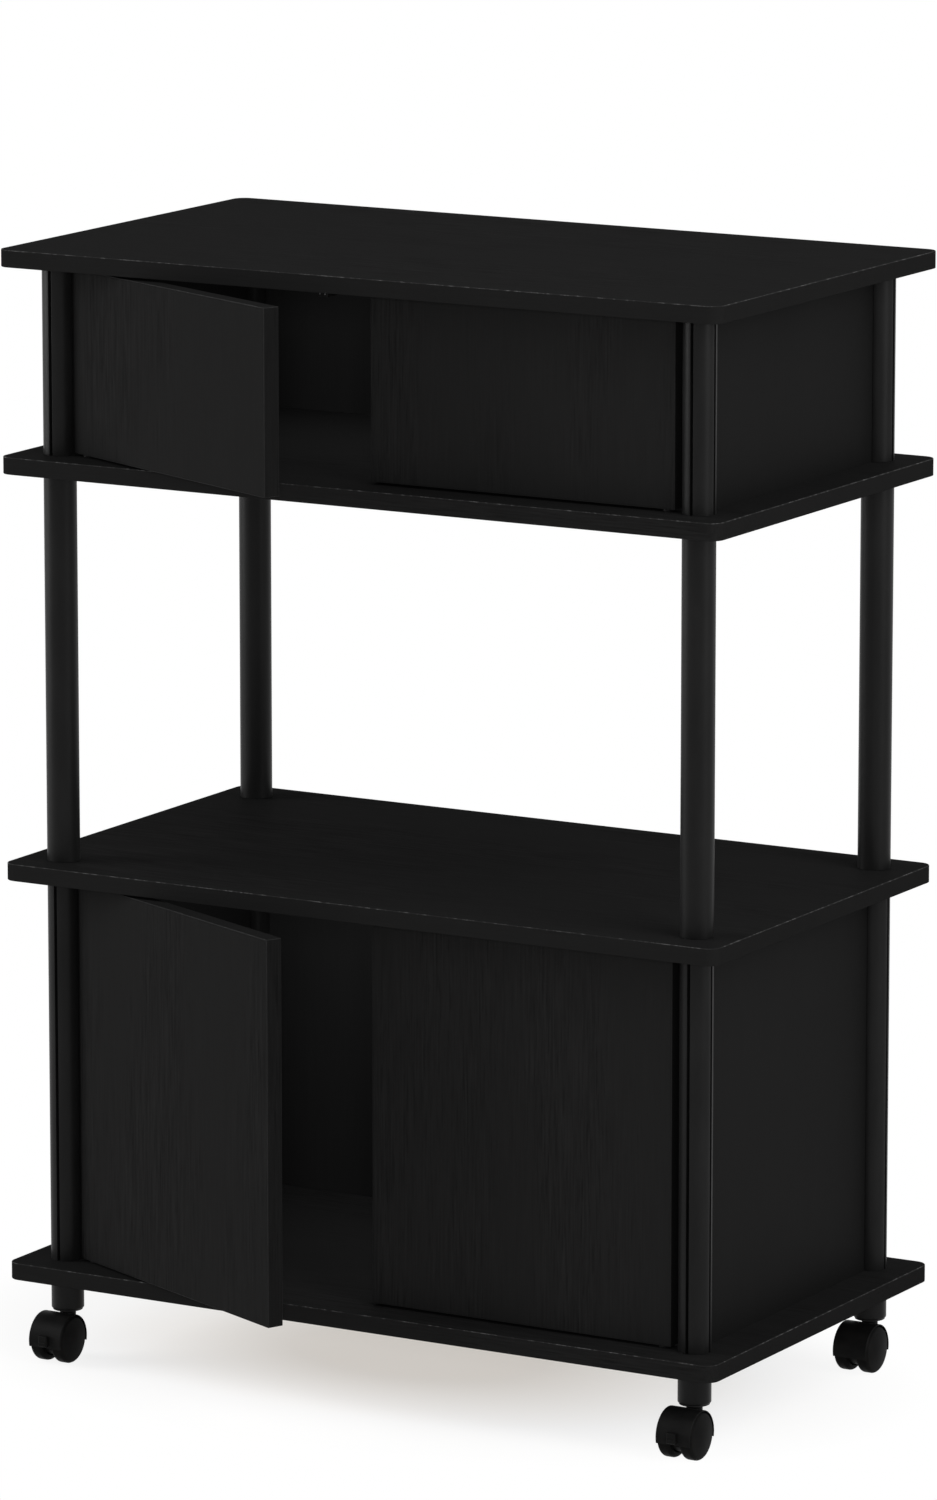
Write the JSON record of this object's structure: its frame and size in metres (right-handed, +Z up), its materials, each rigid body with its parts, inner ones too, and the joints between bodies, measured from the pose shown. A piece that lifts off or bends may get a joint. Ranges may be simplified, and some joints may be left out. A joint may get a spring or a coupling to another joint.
{
  "type": "kitchen storage cart",
  "caption": "Rolling kitchen storage cart: rectangular boards on round posts, a cabinet with hinged doors above and below an open bay, on hooded casters.",
  "frame": {"origin": "on the floor under the centre of the boards", "axes": "+Z up, front towards -Y, +X to the right of someone facing the front"},
  "size_m": [0.7, 0.4844, 0.98],
  "materials": {
    "board_laminate": "black wood-grain laminate on engineered board, satin",
    "door_laminate": "black wood-grain laminate with upright grain, satin",
    "panel_board": "thin black laminated hardboard, satin",
    "post_plastic": "extruded black plastic, satin",
    "fitting_plastic": "moulded black plastic",
    "caster_plastic": "moulded black nylon, satin",
    "wheel_plastic": "moulded black nylon, satin",
    "steel": "zinc-plated steel"
  },
  "bodies": {
    "root": {"top_board": "board_laminate", "upper_shelf": "board_laminate", "middle_shelf": "board_laminate", "bottom_board": "board_laminate", "upper_post_front_left": "post_plastic", "middle_tube_front_left": "post_plastic", "lower_post_front_left": "post_plastic", "upper_post_front_right": "post_plastic", "middle_tube_front_right": "post_plastic", "lower_post_front_right": "post_plastic", "upper_post_back_left": "post_plastic", "middle_tube_back_left": "post_plastic", "lower_post_back_left": "post_plastic", "upper_post_back_right": "post_plastic", "middle_tube_back_right": "post_plastic", "lower_post_back_right": "post_plastic", "leg_tubes": "post_plastic", "upper_left_panel": "panel_board", "upper_right_panel": "panel_board", "upper_back_panel": "panel_board", "lower_left_panel": "panel_board", "lower_right_panel": "panel_board", "lower_back_panel": "panel_board", "board_studs": "fitting_plastic", "tube_sockets": "fitting_plastic", "top_studs": "fitting_plastic", "pin_bushes": "fitting_plastic", "door_catches": "fitting_plastic", "leg_inserts": "fitting_plastic", "caster_stems": "steel"},
    "upper_left_door": {"upper_left_door": "door_laminate", "upper_left_door_pins": "fitting_plastic", "upper_left_strike_plate": "steel"},
    "upper_right_door": {"upper_right_door": "door_laminate", "upper_right_door_pins": "fitting_plastic", "upper_right_strike_plate": "steel"},
    "lower_left_door": {"lower_left_door": "door_laminate", "lower_left_door_pins": "fitting_plastic", "lower_left_strike_plate": "steel"},
    "lower_right_door": {"lower_right_door": "door_laminate", "lower_right_door_pins": "fitting_plastic", "lower_right_strike_plate": "steel"},
    "caster_front_left": {"caster_hood_front_left": "caster_plastic", "caster_axle_front_left": "steel"},
    "left_wheel_front_left": {"caster_wheel_left_front_left": "wheel_plastic"},
    "right_wheel_front_left": {"caster_wheel_right_front_left": "wheel_plastic"},
    "brake_front_left": {"brake_lever_front_left": "caster_plastic"},
    "caster_front_right": {"caster_hood_front_right": "caster_plastic", "caster_axle_front_right": "steel"},
    "left_wheel_front_right": {"caster_wheel_left_front_right": "wheel_plastic"},
    "right_wheel_front_right": {"caster_wheel_right_front_right": "wheel_plastic"},
    "brake_front_right": {"brake_lever_front_right": "caster_plastic"},
    "caster_back_left": {"caster_hood_back_left": "caster_plastic", "caster_axle_back_left": "steel"},
    "left_wheel_back_left": {"caster_wheel_left_back_left": "wheel_plastic"},
    "right_wheel_back_left": {"caster_wheel_right_back_left": "wheel_plastic"},
    "caster_back_right": {"caster_hood_back_right": "caster_plastic", "caster_axle_back_right": "steel"},
    "left_wheel_back_right": {"caster_wheel_left_back_right": "wheel_plastic"},
    "right_wheel_back_right": {"caster_wheel_right_back_right": "wheel_plastic"}
  },
  "joints": [
    {"name": "upper_left_door_hinge", "type": "hinge", "parent": "root", "child": "upper_left_door", "pos_m": [-0.283, -0.1605, 0.883], "axis": [0, 0, 1], "range_deg": [-85.3, 24.7]},
    {"name": "upper_right_door_hinge", "type": "hinge", "parent": "root", "child": "upper_right_door", "pos_m": [0.283, -0.1605, 0.883], "axis": [0, 0, 1], "range_deg": [0, 110]},
    {"name": "lower_left_door_hinge", "type": "hinge", "parent": "root", "child": "lower_left_door", "pos_m": [-0.283, -0.1605, 0.2595], "axis": [0, 0, 1], "range_deg": [-85.3, 24.7]},
    {"name": "lower_right_door_hinge", "type": "hinge", "parent": "root", "child": "lower_right_door", "pos_m": [0.283, -0.1605, 0.2595], "axis": [0, 0, 1], "range_deg": [0, 110]},
    {"name": "swivel_front_left", "type": "hinge", "parent": "root", "child": "caster_front_left", "pos_m": [-0.312, -0.1605, 0.0427], "axis": [0, 0, 1], "continuous": true},
    {"name": "roll_left_front_left", "type": "hinge", "parent": "caster_front_left", "child": "left_wheel_front_left", "pos_m": [-0.312, -0.1772, 0.0208], "axis": [1, 0, 0], "continuous": true},
    {"name": "roll_right_front_left", "type": "hinge", "parent": "caster_front_left", "child": "right_wheel_front_left", "pos_m": [-0.312, -0.1772, 0.0208], "axis": [1, 0, 0], "continuous": true},
    {"name": "brake_press_front_left", "type": "hinge", "parent": "caster_front_left", "child": "brake_front_left", "pos_m": [-0.312, -0.1872, 0.0188], "axis": [1, 0, 0], "range_deg": [0, 15]},
    {"name": "swivel_front_right", "type": "hinge", "parent": "root", "child": "caster_front_right", "pos_m": [0.312, -0.1605, 0.0427], "axis": [0, 0, 1], "continuous": true},
    {"name": "roll_left_front_right", "type": "hinge", "parent": "caster_front_right", "child": "left_wheel_front_right", "pos_m": [0.312, -0.1772, 0.0208], "axis": [1, 0, 0], "continuous": true},
    {"name": "roll_right_front_right", "type": "hinge", "parent": "caster_front_right", "child": "right_wheel_front_right", "pos_m": [0.312, -0.1772, 0.0208], "axis": [1, 0, 0], "continuous": true},
    {"name": "brake_press_front_right", "type": "hinge", "parent": "caster_front_right", "child": "brake_front_right", "pos_m": [0.312, -0.1872, 0.0188], "axis": [1, 0, 0], "range_deg": [0, 15]},
    {"name": "swivel_back_left", "type": "hinge", "parent": "root", "child": "caster_back_left", "pos_m": [-0.312, 0.1605, 0.0427], "axis": [0, 0, 1], "continuous": true},
    {"name": "roll_left_back_left", "type": "hinge", "parent": "caster_back_left", "child": "left_wheel_back_left", "pos_m": [-0.312, 0.1438, 0.0208], "axis": [1, 0, 0], "continuous": true},
    {"name": "roll_right_back_left", "type": "hinge", "parent": "caster_back_left", "child": "right_wheel_back_left", "pos_m": [-0.312, 0.1438, 0.0208], "axis": [1, 0, 0], "continuous": true},
    {"name": "swivel_back_right", "type": "hinge", "parent": "root", "child": "caster_back_right", "pos_m": [0.312, 0.1605, 0.0427], "axis": [0, 0, 1], "continuous": true},
    {"name": "roll_left_back_right", "type": "hinge", "parent": "caster_back_right", "child": "left_wheel_back_right", "pos_m": [0.312, 0.1438, 0.0208], "axis": [1, 0, 0], "continuous": true},
    {"name": "roll_right_back_right", "type": "hinge", "parent": "caster_back_right", "child": "right_wheel_back_right", "pos_m": [0.312, 0.1438, 0.0208], "axis": [1, 0, 0], "continuous": true}
  ]
}
